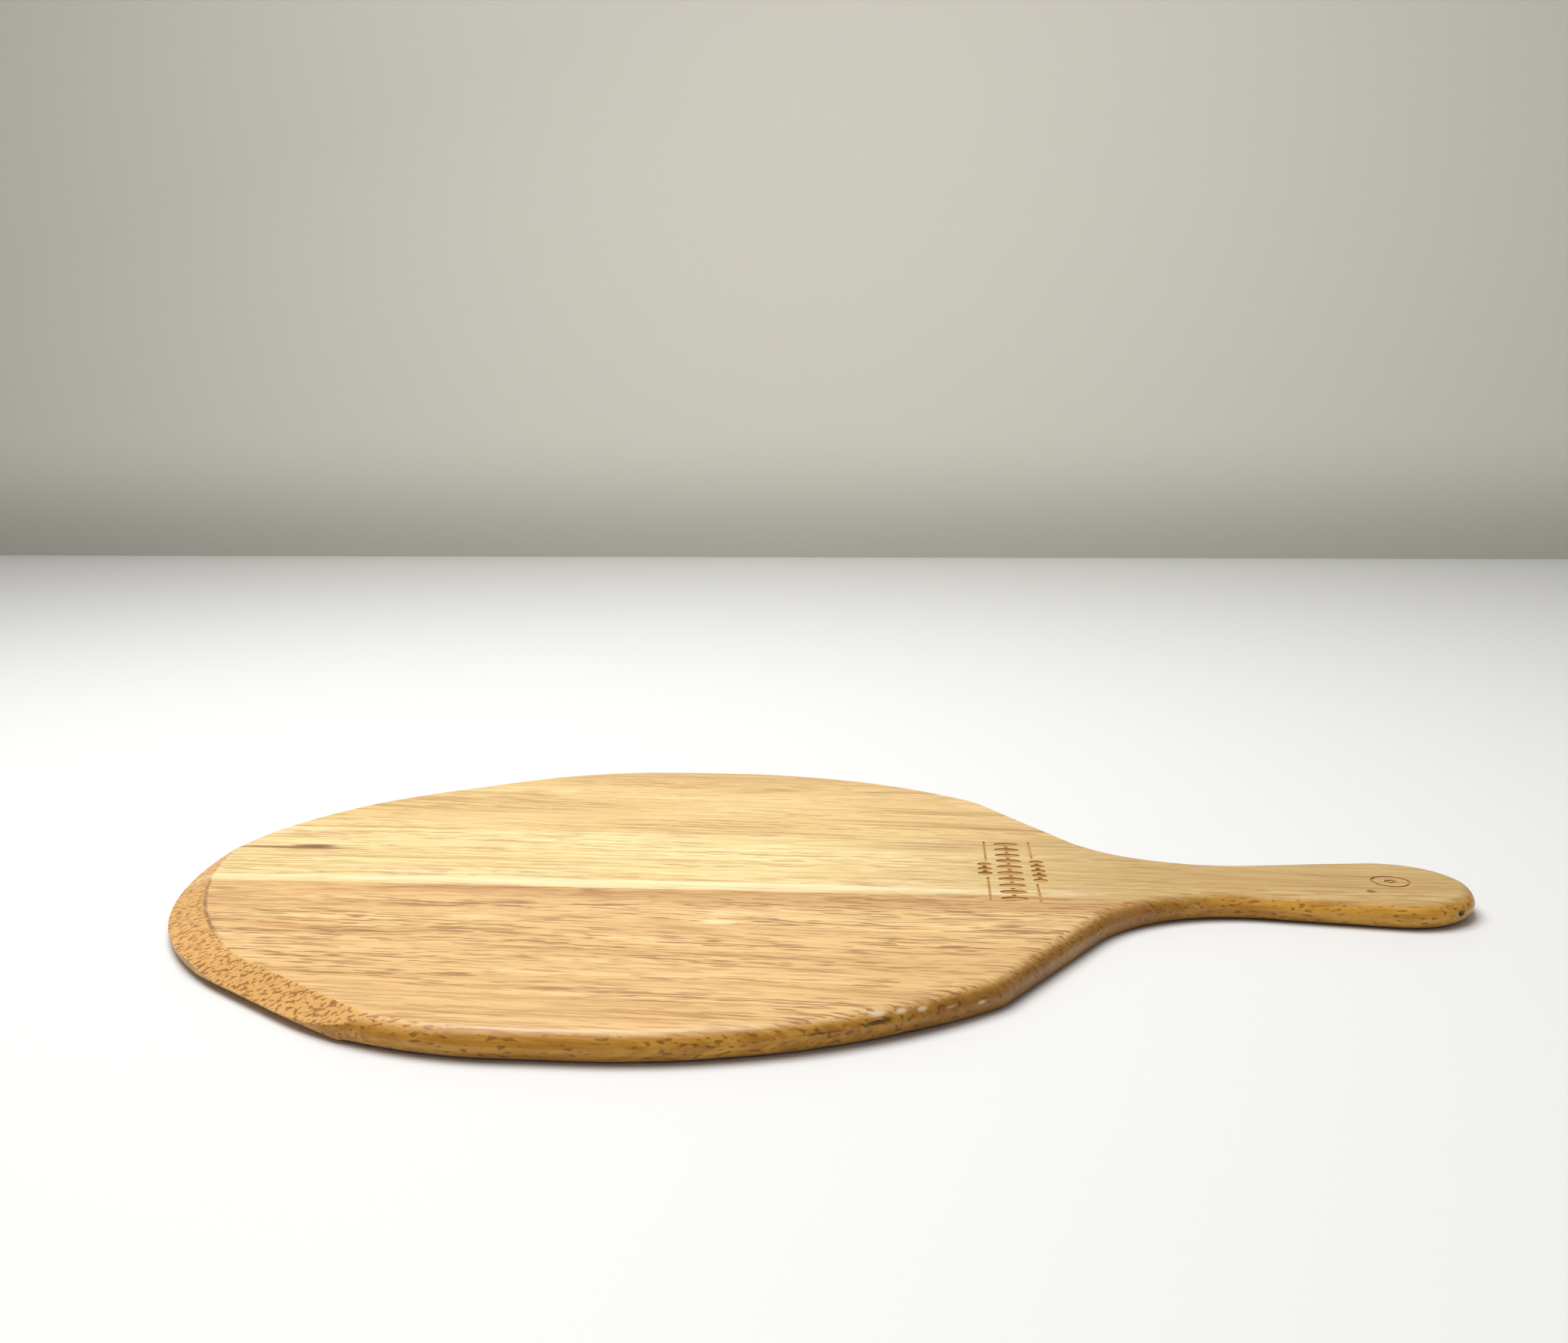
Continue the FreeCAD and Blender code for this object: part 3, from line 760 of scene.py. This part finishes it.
def soft_light(name, place, target, width, height, power):
    """A white rectangular light turned towards a target. Sizes are in metres and the power in watts."""
    lamp = bpy.data.lights.new(name, "AREA")
    lamp.shape = "RECTANGLE"
    lamp.size, lamp.size_y = width, height
    lamp.energy = power
    holder = bpy.data.objects.new(name, lamp)
    holder.location = place
    holder.rotation_euler = (Vector(target) - Vector(place)).to_track_quat("-Z", "Y").to_euler()
    bpy.context.collection.objects.link(holder)


def lights():
    """A dim studio with a narrow light behind on the left and a broad one overhead."""
    world = bpy.data.worlds.new("studio")
    world.use_nodes = True
    tree = world.node_tree
    background = tree.nodes["Background"]
    direction = add(tree, "ShaderNodeTexCoord").outputs["Generated"]
    height = add(tree, "ShaderNodeSeparateXYZ", {0: direction}).outputs[2]
    # a studio that is dim at table height and pale overhead
    tree.links.new(ramp(tree, height, 0.0, 0.6, 0.08, 0.30), background.inputs["Strength"])
    background.inputs["Color"].default_value = linear("#FFFFFF")
    bpy.context.scene.world = world
    soft_light("behind_left", (-0.40, 0.28, 0.95), (-0.05, 0.0, 0.0), 0.9, 0.35, 4.5)
    soft_light("overhead", (-0.27, 0.02, 1.55), (0.0, 0.0, 0.0), 1.4, 1.0, 23.0)


def camera():
    """Low and a little to the right, looking along the table."""
    data = bpy.data.cameras.new("camera")
    data.sensor_width = 36.0
    data.lens = 36.05
    data.clip_start, data.clip_end = 0.01, 20.0
    yaw, pitch, roll = (math.radians(a) for a in (-5.322, 8.921, -0.305))
    forward = Vector((math.sin(yaw) * math.cos(pitch), math.cos(yaw) * math.cos(pitch), -math.sin(pitch)))
    level = Vector((math.cos(yaw), -math.sin(yaw), 0))
    upright = level.cross(forward)
    right = level * math.cos(roll) + upright * math.sin(roll)
    up = upright * math.cos(roll) - level * math.sin(roll)
    holder = bpy.data.objects.new("camera", data)
    turn = Matrix((right, up, -forward)).transposed().to_4x4()
    place = (0.03738, -0.52403, 0.16080)
    holder.matrix_world = Matrix.Translation(place) @ turn
    bpy.context.collection.objects.link(holder)
    bpy.context.scene.camera = holder
    # colours are matched in plain sRGB
    bpy.context.scene.view_settings.view_transform = "Standard"


# ---- the peel ----
camera()
lights()
room()

glue = wood_glue()
burnt = burnt_wood()
board = whole_board()
pieces = {}
for node, low, high, slot, material in (
    ("near_stave", None, NEAR_SEAM[0], "pinkish_hardwood", hardwood("pinkish_hardwood")),
    ("near_glue_line", *NEAR_SEAM, "wood_glue", glue),
    ("handle_stave", NEAR_SEAM[1], FAR_SEAM[0], "pale_hardwood", hardwood("pale_hardwood")),
    ("far_glue_line", *FAR_SEAM, "wood_glue", glue),
    ("far_stave", FAR_SEAM[1], None, "golden_hardwood", hardwood("golden_hardwood")),
):
    piece = parted(board, "visual_" + node, low, high, material)
    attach(piece, "root")
    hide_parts(node)
    pieces[node] = piece
board.free()

cutter = mark_cutter(burnt)
for node in ("near_stave", "near_glue_line", "handle_stave"):
    carve(pieces[node], cutter)
bpy.data.objects.remove(cutter)
